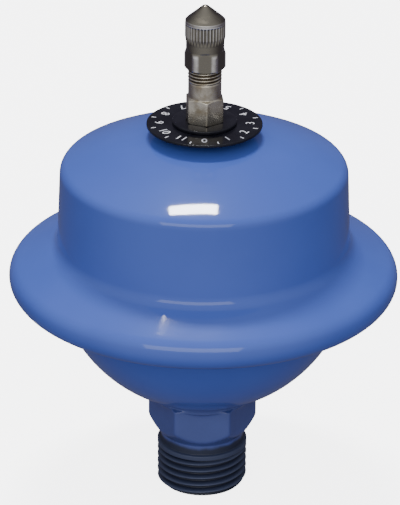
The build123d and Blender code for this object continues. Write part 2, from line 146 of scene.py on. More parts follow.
# Cap
CAP_FLATS = 8.4
CAP_CORNER = 4.66
CAP_FLAT_HEIGHT = 3.4
CAP_FLARE = 1.0
CAP_WAIST = 4.31
CAP_WAIST_TOP = 6.1
CAP_GRIP_FULL = 7.7
CAP_GRIP_TOP = 10.7
CAP_LIP_TOP = 11.3
CAP_CONE_FOOT = 11.8
CAP_GRIP = 4.56
CAP_LIP = 4.5
CAP_SHOULDER = 4.0
CAP_TIP = 1.3
CAP_RIDGES = 36
RIDGE_DEPTH = 0.2
RIDGE_CUT = 1.5
RIDGE_START = 1.2
RIDGE_STOP = 0.12
CAP_ROOM = 0.1
FOOT_BEVEL = 0.2
FOOT_EDGE = 0.25

# Disc's figures: their ring, size and ink, and the ticks between them
FIGURES = 12
FIGURE_RING = 10.35
FIGURE_SIZE = 2.9
INK_HEIGHT = 0.03
TICK_INNER = 11.3
TICK_OUTER = 12.4
TICK_WIDTH = 0.28

# Heights that follow
LAND_Z = THREAD_LENGTH + LAND_LENGTH
HEX_Z = LAND_Z + NECK_LENGTH
HEX_TOP = HEX_Z + HEX_HEIGHT
BOWL_Z = HEX_TOP - BOWL_SINK + BOWL_RADIUS
ROLL_Z = BOWL_Z - ROLL_DROP
ROLL_X = BOWL_RADIUS + BRIM_WIDTH - ROLL_RADIUS
CROWN_Z = ROLL_Z + DOME_HEIGHT
FLANGE_Z = ROLL_Z - (ROLL_RADIUS - SHEET) * cos(radians(CURL)) + SEAT_GAP
FLANGE_RADIUS = ROLL_X + (ROLL_RADIUS - SHEET) * sin(radians(CURL)) - FLANGE_GAP
BOSS_TOP = CROWN_Z + BOSS_RISE


def node_span(node):
    """Lowest and highest z of a CAD node, in millimetres."""
    low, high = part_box(node)
    return low.z / MM, high.z / MM


STEM_FOOT, STEM_TOP = node_span("valve_stem")
STEM_Z = STEM_FOOT + TAIL_LENGTH
CAP_Z, CAP_TOP = node_span("cap_shell")
SEAL_Z, SEAL_TOP = node_span("cap_seal")
DISC_Z, DISC_TOP = node_span("rating_disc")
WASHER_Z, WASHER_TOP = node_span("hub_washer")
BOSS_Z, _ = node_span("valve_boss")
PLAIN_TOP = STEM_Z + STEM_HEX_HEIGHT + STEM_PLAIN


# Outlines: arrays of (radius, height) points, walked anticlockwise round the metal

def arc(centre, radius, start, end, step=6.0):
    """Points on a circle's arc from one angle to the other in degrees, at most a step apart."""
    count = max(2, ceil(abs(end - start) / step) + 1)
    turn = np.radians(np.linspace(start, end, count))
    return np.stack([centre[0] + radius * np.cos(turn), centre[1] + radius * np.sin(turn)], 1)


def rounded(corners, radii, closed=True, facets=5, run=2.0):
    """Outline through corners: each corner with a radius gives way to a quadratic curve between the
    points where an arc would touch its two sides, and straight runs are divided."""
    corners = [np.array(c, float) for c in corners]
    radii = list(np.broadcast_to(radii, len(corners)))
    count, points = len(corners), []
    for i, corner in enumerate(corners):
        if radii[i] == 0 or (not closed and i in (0, count - 1)):
            points.append(corner)
            continue
        back, on = corners[i - 1] - corner, corners[(i + 1) % count] - corner
        back_len, on_len = np.hypot(*back), np.hypot(*on)
        half = np.arccos(np.clip(back @ on / back_len / on_len, -1, 1)) / 2
        cut = min(radii[i] / max(tan(half), 1e-6), 0.45 * back_len, 0.45 * on_len)
        first, last = corner + back / back_len * cut, corner + on / on_len * cut
        for t in np.linspace(0, 1, facets):
            points.append((1 - t) ** 2 * first + 2 * t * (1 - t) * corner + t * t * last)
    walk, joined = points + points[:1] if closed else points, []
    for a, b in zip(walk[:-1], walk[1:]):
        parts = max(1, ceil(np.hypot(*(b - a)) / run))
        joined += [a + (b - a) * k / parts for k in range(parts)]
    return np.array(joined if closed else joined + walk[-1:])


def piece(name, radius, height, body, *nodes, slot, material, columns=None):
    """A closed surface from arrays of radius and height, a row for each outline point and a column
    for each angle round the axis. Rows join in a ring, or end in a pole where both ends lie on the
    axis. It rides on a body and stands for its CAD nodes."""
    rows = len(radius)
    columns = columns or radius.shape[1]
    radius = np.broadcast_to(radius, (rows, columns))
    height = np.broadcast_to(height, (rows, columns))
    turn = np.arange(columns) * 2 * pi / columns
    spots = np.stack([radius * np.cos(turn), radius * np.sin(turn), height], 2).reshape(-1, 3)
    index = np.arange(rows * columns).reshape(rows, columns)
    poled = radius[0].max() < 1e-9 and radius[-1].max() < 1e-9
    if poled:
        index[0], index[-1] = index[0, 0], index[-1, 0]
    else:
        index = np.vstack([index, index[:1]])
    a, b = index[:-1], np.roll(index, -1, 1)[:-1]
    c, d = np.roll(index, -1, 1)[1:], index[1:]
    quads = np.stack([a, b, c, d], 2)
    faces = quads[1:-1] if poled else quads
    faces = faces.reshape(-1, 4).tolist()
    if poled:
        faces += quads[0][:, [0, 2, 3]].tolist() + quads[-1][:, [0, 1, 3]].tolist()
    used = np.unique(np.concatenate([np.ravel(f) for f in (faces[:1], index)]))
    place = np.zeros(rows * columns, int)
    place[used] = np.arange(len(used))
    mesh = bpy.data.meshes.new(name)
    mesh.from_pydata((spots[used] * MM).tolist(), [], [[int(place[k]) for k in f] for f in faces])
    mesh.polygons.foreach_set("use_smooth", [True] * len(mesh.polygons))
    mesh.update()
    return fit(bpy.data.objects.new(name, mesh), body, *nodes, slot=slot, material=material)


def fit(made, body, *nodes, slot, material):
    """Links an object, gives it its finish and its body, and lets it stand for its CAD nodes."""
    bpy.context.scene.collection.objects.link(made)
    made.data.materials.append(material)
    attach(made, body)
    if nodes:
        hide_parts(*nodes)
    return made


def turned(name, outline, body, *nodes, slot, material, columns=192):
    """A plain turned piece: its outline carried once round the axis."""
    return piece(name, outline[:, :1], outline[:, 1:], body, *nodes, slot=slot,
                 material=material, columns=columns)


def angles(columns):
    """Angles of the columns round the axis, as one row."""
    return (np.arange(columns) * 2 * pi / columns)[None, :]


def hexagon(turn, flats, sharpness=70.0):
    """Radius of a hexagon with slightly rounded corners: the p-norm of its six face distances,
    with faces at 30 degrees and every 60 degrees on."""
    faces = np.radians(30 + 60 * np.arange(6))[:, None, None]
    reach = np.clip(np.cos(turn[None] - faces), 0, 1) * 2 / flats
    return (reach ** sharpness).sum(0) ** (-1 / sharpness)


def smaller(a, b, sharpness=70.0):
    """The smaller of two radii, with a soft edge where they meet."""
    return (a ** -sharpness + b ** -sharpness) ** (-1 / sharpness)


def larger(a, b, sharpness=70.0):
    """The larger of two radii, with a soft corner where they meet."""
    return (a ** sharpness + b ** sharpness) ** (1 / sharpness)


def ease(x):
    """Smooth step from 0 to 1 while x goes from 0 to 1."""
    x = np.clip(x, 0, 1)
    return x * x * (3 - 2 * x)


def thread(turn, height, crest, depth, pitch, start):
    """Radius of a right-hand thread: a cosine between root and crest, one pitch up each turn."""
    phase = (height - start) / pitch - turn / (2 * pi)
    return crest - depth * (0.5 - 0.5 * np.cos(2 * pi * phase))


def levels(*stops):
    """Heights from the first stop to the last: pairs of a height and the step used up to it."""
    rows = [np.array([stops[0][0]], float)]
    for (low, _), (high, step) in zip(stops[:-1], stops[1:]):
        rows.append(np.linspace(low, high, max(1, ceil((high - low) / step)) + 1)[1:])
    return np.concatenate(rows)


# Finishes

def socket_values(node, values):
    """Sets a node's inputs from a dictionary of names and values."""
    for name, value in values.items():
        node.inputs[name].default_value = value


def new_group(name, inputs, outputs):
    """A shader node group with named inputs (name, kind, value) and outputs (name, kind)."""
    group = bpy.data.node_groups.new(name, "ShaderNodeTree")
    for label, kind, value in inputs:
        socket = group.interface.new_socket(name=label, in_out="INPUT", socket_type=kind)
        socket.default_value = value
    for label, kind in outputs:
        group.interface.new_socket(name=label, in_out="OUTPUT", socket_type=kind)
    return group, group.nodes.new("NodeGroupInput"), group.nodes.new("NodeGroupOutput")


COLOUR, VALUE = "NodeSocketColor", "NodeSocketFloat"


def noise_node(tree, scale, detail=2.0, roughness=0.5):
    """Noise on Object coordinates."""
    spot = tree.nodes.new("ShaderNodeTexCoord")
    noise = tree.nodes.new("ShaderNodeTexNoise")
    socket_values(noise, {"Scale": scale, "Detail": detail, "Roughness": roughness})
    tree.links.new(spot.outputs["Object"], noise.inputs["Vector"])
    return noise


def ranged(tree, value, low, high, to_low=0.0, to_high=1.0):
    """A value's range mapped smoothly to another range."""
    node = tree.nodes.new("ShaderNodeMapRange")
    node.interpolation_type = "SMOOTHSTEP"
    socket_values(node, {"From Min": low, "From Max": high, "To Min": to_low, "To Max": to_high})
    tree.links.new(value, node.inputs["Value"])
    return node.outputs["Result"]


def calculated(tree, operation, a, b=None):
    """A Math node of two values, each a number or a socket."""
    node = tree.nodes.new("ShaderNodeMath")
    node.operation = operation
    for socket, value in zip(node.inputs, (a, b)):
        if isinstance(value, (int, float)):
            socket.default_value = value
        elif value is not None:
            tree.links.new(value, socket)
    return node.outputs[0]


def mixed(tree, share, a, b):
    """Colour a turned into colour b by a share; each colour is four numbers or a socket."""
    node = tree.nodes.new("ShaderNodeMix")
    node.data_type = "RGBA"
    tree.links.new(share, node.inputs["Factor"])
    for socket, value in ((node.inputs[6], a), (node.inputs[7], b)):
        if isinstance(value, tuple):
            socket.default_value = value
        else:
            tree.links.new(value, socket)
    return node.outputs[2]


def make_paint_skin():
    """Sprayed enamel: two close shades in slow patches, a fine orange-peel height and a roughness
    that wanders a little."""
    group, inside, outside = new_group(
        "paint_skin",
        [("Colour", COLOUR, (0.07, 0.13, 0.37, 1)), ("Shade", COLOUR, (0.06, 0.12, 0.34, 1)),
         ("Patch scale", VALUE, 40.0), ("Peel scale", VALUE, 650.0), ("Roughness", VALUE, 0.25)],
        [("Colour", COLOUR), ("Roughness", VALUE), ("Height", VALUE)])
    patch, peel = noise_node(group, 40.0, 3.0), noise_node(group, 650.0, 2.0)
    group.links.new(inside.outputs["Patch scale"], patch.inputs["Scale"])
    group.links.new(inside.outputs["Peel scale"], peel.inputs["Scale"])
    share = ranged(group, patch.outputs["Fac"], 0.35, 0.65)
    colour = mixed(group, share, inside.outputs["Colour"], inside.outputs["Shade"])
    wander = ranged(group, patch.outputs["Fac"], 0.3, 0.7, -0.03, 0.04)
    group.links.new(colour, outside.inputs["Colour"])
    group.links.new(calculated(group, "ADD", inside.outputs["Roughness"], wander),
                    outside.inputs["Roughness"])
    group.links.new(peel.outputs["Fac"], outside.inputs["Height"])
    return group


def make_groove_mask():
    """How deep a spot lies in a thread's or a grip's grooves, for painting shade into them: 1 at
    the root radius and 0 at the crest radius, from the spot's distance to the axis."""
    group, inside, outside = new_group(
        "groove_mask", [("Root", VALUE, 0.009), ("Crest", VALUE, 0.01)], [("Mask", VALUE)])
    spot = group.nodes.new("ShaderNodeTexCoord")
    flat = group.nodes.new("ShaderNodeVectorMath")
    flat.operation = "MULTIPLY"
    flat.inputs[1].default_value = (1, 1, 0)
    group.links.new(spot.outputs["Object"], flat.inputs[0])
    reach = group.nodes.new("ShaderNodeVectorMath")
    reach.operation = "LENGTH"
    group.links.new(flat.outputs["Vector"], reach.inputs[0])
    node = group.nodes.new("ShaderNodeMapRange")
    node.interpolation_type = "SMOOTHSTEP"
    socket_values(node, {"To Min": 1.0, "To Max": 0.0})
    group.links.new(reach.outputs["Value"], node.inputs["Value"])
    group.links.new(inside.outputs["Root"], node.inputs["From Min"])
    group.links.new(inside.outputs["Crest"], node.inputs["From Max"])
    group.links.new(node.outputs["Result"], outside.inputs["Mask"])
    return group


def make_turned_metal():
    """Turned and plated metal: fine rings that follow the height, tarnish in patches, and a
    roughness that goes with both."""
    group, inside, outside = new_group(
        "turned_metal",
        [("Colour", COLOUR, (0.6, 0.6, 0.6, 1)), ("Tarnish", COLOUR, (0.3, 0.27, 0.2, 1)),
         ("Ring scale", VALUE, 9000.0), ("Patch scale", VALUE, 350.0), ("Roughness", VALUE, 0.2)],
        [("Colour", COLOUR), ("Roughness", VALUE), ("Height", VALUE)])
    spot = group.nodes.new("ShaderNodeTexCoord")
    parts = group.nodes.new("ShaderNodeSeparateXYZ")
    group.links.new(spot.outputs["Object"], parts.inputs[0])
    rings = group.nodes.new("ShaderNodeTexNoise")
    rings.noise_dimensions = "1D"
    group.links.new(parts.outputs["Z"], rings.inputs["W"])
    group.links.new(inside.outputs["Ring scale"], rings.inputs["Scale"])
    patch = noise_node(group, 350.0, 4.0, 0.6)
    group.links.new(inside.outputs["Patch scale"], patch.inputs["Scale"])
    share = ranged(group, patch.outputs["Fac"], 0.4, 0.75)
    wander = calculated(group, "MULTIPLY", share, 0.16)
    group.links.new(mixed(group, share, inside.outputs["Colour"], inside.outputs["Tarnish"]),
                    outside.inputs["Colour"])
    group.links.new(calculated(group, "ADD", inside.outputs["Roughness"], wander),
                    outside.inputs["Roughness"])
    group.links.new(rings.outputs["Fac"], outside.inputs["Height"])
    return group


PAINT_SKIN = make_paint_skin()
GROOVE_MASK = make_groove_mask()
TURNED_METAL = make_turned_metal()


def new_finish(name, **constants):
    """A material with a Principled BSDF, its constant sockets set from names with underscores."""
    material = bpy.data.materials.new(name)
    material.use_nodes = True
    shader = material.node_tree.nodes["Principled BSDF"]
    socket_values(shader, {key.replace("_", " "): value for key, value in constants.items()})
    return material, material.node_tree, shader


def placed(tree, group, **values):
    """A group put into a material, its inputs set from names with underscores."""
    node = tree.nodes.new("ShaderNodeGroup")
    node.node_tree = group
    socket_values(node, {key.replace("_", " "): value for key, value in values.items()})
    return node


def bumped(tree, shader, height, distance, strength=1.0):
    """Feeds a height into the shader's normal."""
    bump = tree.nodes.new("ShaderNodeBump")
    socket_values(bump, {"Distance": distance, "Strength": strength})
    tree.links.new(height, bump.inputs["Height"])
    tree.links.new(bump.outputs["Normal"], shader.inputs["Normal"])


BLUE = (0.062, 0.112, 0.43, 1)
BLUE_SHADE = (0.057, 0.104, 0.41, 1)
# Painted shade: the connector's two blues are the shells' enamel darkened, as shade under the bowl
BLUE_SHADED_UNDER_BOWL = (0.046, 0.07, 0.24, 1)
BLUE_PATCH_SHADED_UNDER_BOWL = (0.042, 0.064, 0.22, 1)
NAVY = (0.004, 0.006, 0.018, 1)
# Painted highlight: the paler navy lies along the connector thread's crests, the darker navy is
# painted shade in its grooves
NAVY_CREST_HIGHLIGHT = (0.034, 0.044, 0.085, 1)
WORN_EDGE = 0.0022


def coated(name, colour, shade, roughness, bump, patch=40.0, peel=650.0, **constants):
    """A finish that is one paint skin all over, its bump a height in metres."""
    material, tree, shader = new_finish(name, **constants)
    skin = placed(tree, PAINT_SKIN, Colour=colour, Shade=shade, Roughness=roughness,
                  Patch_scale=patch, Peel_scale=peel)
    tree.links.new(skin.outputs["Colour"], shader.inputs["Base Color"])
    tree.links.new(skin.outputs["Roughness"], shader.inputs["Roughness"])
    bumped(tree, shader, skin.outputs["Height"], bump)
    return material


def connector_paint():
    """The enamel on the connector, the shells' blue darkened as painted shade under the bowl: full
    on the hexagon, worn thin and dark from the neck down, with a painted highlight along the
    thread's crests and painted shade in its grooves."""
    material, tree, shader = new_finish(
        "connector_paint", Coat_Roughness=0.06, Specular_IOR_Level=0.3)
    # Painted shade: the connector's enamel is the shells' blue made darker, as shade under the bowl
    skin = placed(tree, PAINT_SKIN, Colour=BLUE_SHADED_UNDER_BOWL, Shade=BLUE_PATCH_SHADED_UNDER_BOWL, Roughness=0.38,
                  Patch_scale=120.0)
    groove = placed(tree, GROOVE_MASK, Root=(THREAD_RADIUS - THREAD_DEPTH) * MM,
                    Crest=THREAD_RADIUS * MM)
    spot = tree.nodes.new("ShaderNodeTexCoord")
    parts = tree.nodes.new("ShaderNodeSeparateXYZ")
    tree.links.new(spot.outputs["Object"], parts.inputs[0])
    edge = calculated(tree, "MULTIPLY_ADD", noise_node(tree, 160.0, 3.0).outputs["Fac"], WORN_EDGE)
    edge.node.inputs[2].default_value = -WORN_EDGE / 2
    level = calculated(tree, "ADD", parts.outputs["Z"], edge)
    bare = ranged(tree, level, (HEX_Z - 1.2) * MM, HEX_Z * MM, 1.0, 0.0)
    # Bare thread colour with a painted highlight on the crests and painted shade in the grooves
    bare_steel_with_painted_shading = mixed(tree, groove.outputs["Mask"], NAVY_CREST_HIGHLIGHT, NAVY)
    tree.links.new(mixed(tree, bare, skin.outputs["Colour"], bare_steel_with_painted_shading), shader.inputs["Base Color"])
    rough = calculated(tree, "MULTIPLY_ADD", bare, 0.08)
    tree.links.new(skin.outputs["Roughness"], rough.node.inputs[2])
    tree.links.new(rough, shader.inputs["Roughness"])
    tree.links.new(ranged(tree, bare, 0.0, 1.0, 0.6, 0.2), shader.inputs["Coat Weight"])
    bumped(tree, shader, skin.outputs["Height"], 0.00002)
    return material


def plated(name, colour, tarnish, roughness, rings, root=None, crest=None, groove_shade=None):
    """Plated or turned metal, with painted shade in the grooves between two radii if they are
    given.
    """
    material, tree, shader = new_finish(name, Metallic=1.0)
    metal = placed(tree, TURNED_METAL, Colour=colour, Tarnish=tarnish, Roughness=roughness,
                   Ring_scale=rings)
    surface = metal.outputs["Colour"]
    if root:
        groove = placed(tree, GROOVE_MASK, Root=root * MM, Crest=crest * MM)
        # Painted shade: the groove colour darkens the metal between the root and crest radii
        surface = mixed(tree, groove.outputs["Mask"], surface, groove_shade)
    tree.links.new(surface, shader.inputs["Base Color"])
    tree.links.new(metal.outputs["Roughness"], shader.inputs["Roughness"])
    bumped(tree, shader, metal.outputs["Height"], 0.00001, 0.5)
    return material


ENAMEL = coated("blue_enamel", BLUE, BLUE_SHADE, 0.38, 0.000012,
                Coat_Roughness=0.05, Coat_Weight=0.7, Specular_IOR_Level=0.04)
CONNECTOR_PAINT = connector_paint()
# The stem's thread and the cap's grip get painted shade in their grooves
STEM_NICKEL = plated("stem_nickel", (0.60, 0.55, 0.44, 1), (0.32, 0.26, 0.17, 1), 0.22, 7000.0,
                     STEM_RADIUS - STEM_DEPTH, STEM_RADIUS, (0.06, 0.045, 0.03, 1))
CAP_NICKEL = plated("cap_nickel", (0.66, 0.63, 0.58, 1), (0.42, 0.38, 0.31, 1), 0.20, 9000.0,
                    CAP_GRIP - RIDGE_DEPTH, CAP_GRIP, (0.20, 0.18, 0.14, 1))
BRASS = plated("turned_brass", (0.72, 0.52, 0.25, 1), (0.42, 0.28, 0.12, 1), 0.25, 8000.0)
STEEL = plated("drawn_steel", (0.52, 0.52, 0.54, 1), (0.34, 0.33, 0.33, 1), 0.34, 3000.0)
LACQUER = coated("black_lacquer", (0.003, 0.003, 0.006, 1), (0.006, 0.006, 0.01, 1), 0.22, 0.000006,
                 260.0, 1500.0, Coat_Weight=0.12, Coat_Roughness=0.1, Specular_IOR_Level=0.2)
INK = coated("white_ink", (0.82, 0.82, 0.84, 1), (0.55, 0.55, 0.6, 1), 0.45, 0.000004,
             900.0, 4000.0)
RUBBER = coated("moulded_rubber", (0.016, 0.016, 0.018, 1), (0.028, 0.028, 0.03, 1), 0.62, 0.00003,
                180.0, 2200.0, Specular_IOR_Level=0.35)


# Shells

def dome_line(depth):
    """Section of the upper shell from the boss to the lip, moved inwards by depth: crown arc,
    shoulder arc tangent to it, wall, foot arc, brim and roll, each tangent to the next."""
    wall = np.array([cos(radians(WALL_DRAFT)), sin(radians(WALL_DRAFT))])
    brim = np.array([sin(radians(BRIM_TILT)), cos(radians(BRIM_TILT))])
    along = np.array([-wall[1], wall[0]])
    roll, crown = np.array([ROLL_X, ROLL_Z]), np.array([0, CROWN_Z - CROWN_RADIUS])
    wall_line = wall @ (BOWL_RADIUS - WALL_INSET, ROLL_Z + ROLL_RADIUS + 2 * FOOT_RADIUS)
    start = wall * (wall_line - SHOULDER_RADIUS) - crown
    slide = sqrt((start @ along) ** 2 - start @ start + (CROWN_RADIUS - SHOULDER_RADIUS) ** 2)
    shoulder = start + along * (slide - start @ along) + crown
    foot = np.linalg.solve([wall, brim], [wall_line + FOOT_RADIUS,
                                          brim @ roll + ROLL_RADIUS + FOOT_RADIUS])
    turn = degrees(atan2(shoulder[1] - crown[1], shoulder[0]))
    start = 90 - degrees(asin((BOSS_RADIUS + SEAT_GAP) / (CROWN_RADIUS - depth)))
    tight = 4.0
    return np.concatenate([
        arc(crown, CROWN_RADIUS - depth, start, turn, 0.8),
        arc(shoulder, SHOULDER_RADIUS - depth, turn, WALL_DRAFT, tight)[1:],
        straight(shoulder + wall * (SHOULDER_RADIUS - depth), foot - wall * (FOOT_RADIUS + depth)),
        arc(foot, FOOT_RADIUS + depth, 180 + WALL_DRAFT, 270 - BRIM_TILT, tight),
        straight(foot - brim * (FOOT_RADIUS + depth), roll + brim * (ROLL_RADIUS - depth)),
        arc(roll, ROLL_RADIUS - depth, 90 - BRIM_TILT, -90 - CURL, tight)])


def straight(first, last, run=1.0):
    """Points between two ends of a straight run, without the ends."""
    parts = max(2, ceil(np.hypot(*(last - first)) / run))
    return first + (last - first) * (np.arange(1, parts) / parts)[:, None]


def bowl_line(depth, inner):
    """Section of the lower shell from the hole to the flange's edge, moved inwards by depth: ball
    arc, bend arc tangent to it, flat flange."""
    ball, bend = BOWL_RADIUS - depth, BOWL_BEND + depth
    bend_z = FLANGE_Z - BOWL_BEND
    bend_x = sqrt((BOWL_RADIUS + BOWL_BEND) ** 2 - (BOWL_Z - bend_z) ** 2)
    turn = degrees(atan2(bend_x, BOWL_Z - bend_z))
    start = degrees(asin(inner / ball))
    flat = np.array([bend_x, FLANGE_Z + depth]), np.array([FLANGE_RADIUS, FLANGE_Z + depth])
    return np.concatenate([arc((0, BOWL_Z), ball, start - 90, turn - 90, 1.5),
                           arc((bend_x, bend_z), bend, 90 + turn, 90, 6.0)[1:],
                           straight(*flat), flat[1][None]])


upper_outline = np.concatenate([dome_line(0)[::-1], dome_line(SHEET)])
turned("dome_and_brim", upper_outline, "housing", "upper_shell", slot="blue_enamel",
       material=ENAMEL, columns=256)
hole = BORE_RADIUS + PILOT_WALL + SEAT_GAP
lower_outline = np.concatenate([bowl_line(0, hole), bowl_line(SHEET, hole)[::-1]])
turned("bowl_and_flange", lower_outline, "housing", "lower_shell", slot="blue_enamel",
       material=ENAMEL, columns=256)


# Water connector

def connector_radius(turn, height):
    """Outside of the connector at each angle and height: thread, land, neck, turned hexagon and
    weld fillet."""
    edge = HEX_FLATS / sqrt(3) + CORNER_SPARE
    fade = 1 - ease((height - THREAD_LENGTH + RUNOUT) / RUNOUT_FADE)
    spigot = thread(turn, height, THREAD_RADIUS, THREAD_DEPTH * fade, THREAD_PITCH, 0)
    spigot = np.minimum(spigot, THREAD_RADIUS - LEAD_CHAMFER + height)
    neck = THREAD_RADIUS + (NECK_RADIUS - THREAD_RADIUS) * ease((height - LAND_Z) / NECK_FADE)
    cone = NECK_RADIUS + (height - HEX_Z) * (edge - NECK_RADIUS) / HEX_CONE
    bevel = edge - 2 * (height - HEX_TOP + HEX_BEVEL)
    bevel = np.where(height > HEX_TOP, bevel - 30 * (height - HEX_TOP), bevel)
    nut = smaller(hexagon(turn, HEX_FLATS), smaller(np.maximum(cone, 1), np.maximum(bevel, 1)))
    weld_x = HEX_FLATS / 2 + WELD_INSET + WELD_FILLET
    weld_z = BOWL_Z - sqrt((BOWL_RADIUS + WELD_FILLET - WELD_SINK) ** 2 - weld_x ** 2)
    lift = height - weld_z
    weld = weld_x - np.sqrt(np.maximum(WELD_FILLET ** 2 - np.maximum(lift, 0) ** 2, 0.01))
    weld = np.maximum(weld + WELD_SLOPE * np.minimum(lift, 0), 1)
    upper = larger(nut, weld)
    return np.where(height < LAND_Z, spigot, np.where(height < HEX_Z, neck, upper))


def water_connector():
    """The connector's outside from the end face up to the weld, then back down inside it."""
    columns = 288
    turn = angles(columns)
    rows = levels((0, 0), (LAND_Z, 0.13), (HEX_Z, 0.1), (HEX_Z + HEX_CONE, 0.15),
                  (HEX_TOP - 1.4, 0.5), (HEX_TOP + 0.94, 0.06))[:, None]
    outside = connector_radius(turn, rows + 0 * turn)
    pilot, ball = BORE_RADIUS + PILOT_WALL, BOWL_RADIUS + SEAT_GAP
    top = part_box("water_connector")[1].z / MM
    under = np.linspace(outside[-1].min() - 0.1, pilot, 8)
    ball_z = BOWL_Z - np.sqrt(ball ** 2 - under ** 2)
    top = min(top, ball_z[-1] + 1.0)
    bore = straight(np.array([BORE_RADIUS, top]), np.array([BORE_RADIUS, 0]), 2.0)
    wide, bevel = BORE_RADIUS + BORE_BEVEL, BORE_BEVEL
    inside = np.concatenate([
        np.stack([under, ball_z], 1), [[pilot, top], [wide, top], [BORE_RADIUS, top - bevel]], bore,
        [[BORE_RADIUS, bevel], [wide, 0], [THREAD_RADIUS - LEAD_CHAMFER - bevel, 0]]])
    radius = np.concatenate([outside, np.broadcast_to(inside[:, :1], (len(inside), columns))])
    height = np.concatenate([np.broadcast_to(rows, outside.shape),
                             np.broadcast_to(inside[:, 1:], (len(inside), columns))])
    piece("hexagon_connector", radius, height, "housing", "water_connector",
          slot="painted_connector", material=CONNECTOR_PAINT)


water_connector()


# Valve seat: boss, disc with its figures, washer

def valve_seat():
    """Boss with its weld to the crown, the disc and the washer, all turned."""
    fillet, collar = BOSS_FILLET, BOSS_RADIUS + BOSS_COLLAR
    crown = CROWN_Z - CROWN_RADIUS + sqrt(CROWN_RADIUS ** 2 - (BOSS_RADIUS + fillet) ** 2)
    bore = TAIL_RADIUS + TAIL_GAP
    under = CROWN_Z - COLLAR_DROP
    boss = rounded([(bore, BOSS_Z), (BOSS_RADIUS, BOSS_Z), (BOSS_RADIUS, under - COLLAR_HEIGHT),
                    (collar, under - COLLAR_HEIGHT), (collar, under), (BOSS_RADIUS, under),
                    (BOSS_RADIUS, crown - 0.2), (BOSS_RADIUS + fillet, crown - 0.05),
                    (BOSS_RADIUS + fillet * 0.35, crown + fillet * 0.35),
                    (BOSS_RADIUS, crown + fillet), (BOSS_RADIUS, BOSS_TOP), (bore, BOSS_TOP)],
                   [0.1, 0.2, 0.2, 0.2, 0.2, 0.1, 0.1, 0.1, 0.8, 0.5, 0.3, 0.1])
    turned("crown_boss", boss, "housing", "valve_boss", slot="blue_enamel", material=ENAMEL)
    hole = TAIL_RADIUS + DISC_GAP
    disc = rounded([(hole, DISC_Z), (DISC_RADIUS, DISC_Z), (DISC_RADIUS, DISC_TOP),
                    (hole, DISC_TOP)], [0.05, 0.15, 0.15, 0.05])
    turned("dial_disc", disc, "housing", "rating_disc", slot="black_disc", material=LACQUER,
           columns=256)
    washer = rounded([(hole, WASHER_Z), (WASHER_RADIUS, WASHER_Z), (WASHER_RADIUS, WASHER_TOP),
                      (hole, WASHER_TOP)], [0.05, 0.15, 0.3, 0.05])
    turned("centre_washer", washer, "housing", "hub_washer", slot="black_disc", material=LACQUER)


def disc_figures():
    """Plain numbers round the disc with a short tick between two, as thin raised ink. A figure's
    foot points outwards: its own x and y become the directions round and towards the axis."""
    spots, faces = [], []
    for k in range(FIGURES):
        curve = bpy.data.curves.new("figure", "FONT")
        curve.body, curve.size = str(k), FIGURE_SIZE
        curve.align_x, curve.align_y = "CENTER", "CENTER"
        curve.extrude, curve.resolution_u = INK_HEIGHT / 2, 4
        holder = bpy.data.objects.new("figure", curve)
        bpy.context.scene.collection.objects.link(holder)
        bpy.context.view_layer.update()
        shape = bpy.data.meshes.new_from_object(
            holder.evaluated_get(bpy.context.evaluated_depsgraph_get()))
        flat = np.zeros(len(shape.vertices) * 3)
        shape.vertices.foreach_get("co", flat)
        flat = flat.reshape(-1, 3)
        turn = radians(-90 + k * 360 / FIGURES)
        out, round_way = np.array([cos(turn), sin(turn)]), np.array([-sin(turn), cos(turn)])
        level = flat[:, :1] * round_way + (FIGURE_RING - flat[:, 1:2]) * out
        first = sum(len(s) for s in spots)
        spots.append(np.column_stack([level, DISC_TOP + INK_HEIGHT / 2 + flat[:, 2]]))
        faces += [[first + v for v in p.vertices] for p in shape.polygons]
        bpy.data.objects.remove(holder)
        turn += pi / FIGURES
        out, round_way = np.array([cos(turn), sin(turn)]), np.array([-sin(turn), cos(turn)])
        first += len(flat)
        corners = [(r, s, z) for z in (0, INK_HEIGHT) for r, s in
                   ((TICK_INNER, -1), (TICK_OUTER, -1), (TICK_OUTER, 1), (TICK_INNER, 1))]
        spots.append(np.array([[*(out * r + round_way * s * TICK_WIDTH / 2), DISC_TOP + z]
                               for r, s, z in corners]))
        sides = [(k, (k + 1) % 4, 4 + (k + 1) % 4, 4 + k) for k in range(4)]
        faces += [[first + v for v in f] for f in ((3, 2, 1, 0), (4, 5, 6, 7), *sides)]
    mesh = bpy.data.meshes.new("disc_figures")
    mesh.from_pydata((np.concatenate(spots) * MM).tolist(), [], faces)
    fit(bpy.data.objects.new("disc_figures", mesh), "housing", slot="black_disc", material=INK)


valve_seat()
disc_figures()


# Valve stem

def stem_outside(turn, height):
    """Outside of the stem: tail with its seal groove, hexagon turned off at both ends, plain shank
    and thread with a cone at the mouth."""
    corner = STEM_FLATS / sqrt(3)
    hex_end = STEM_Z + STEM_HEX_HEIGHT
    groove = np.abs(height - (BOSS_Z + RING_RISE)) < RING_HALF
    tail = np.where(groove, TAIL_RADIUS - RING_DEPTH, TAIL_RADIUS)
    foot = corner - 0.2 + 2 * (height - STEM_Z)
    top = SHANK_RADIUS + 0.1 + (hex_end - height) * 1.9
    nut = smaller(hexagon(turn - radians(STEM_HEX_TURN), STEM_FLATS),
                  smaller(np.maximum(foot, 1), np.maximum(top, 1)))
    cut = STEM_DEPTH * ease((height - PLAIN_TOP) / STEM_PITCH)
    crest = SHANK_RADIUS + (STEM_RADIUS - SHANK_RADIUS) * ease((height - PLAIN_TOP) / STEM_PITCH)
    rod = thread(turn, height, crest, cut, STEM_PITCH, PLAIN_TOP)
    rod = np.minimum(rod, STEM_RADIUS - STEM_DEPTH + (STEM_TOP - height))
    shank = np.where(height < hex_end, larger(nut, SHANK_RADIUS + 0 * turn), rod)
    return np.where(height < STEM_Z, tail, shank)


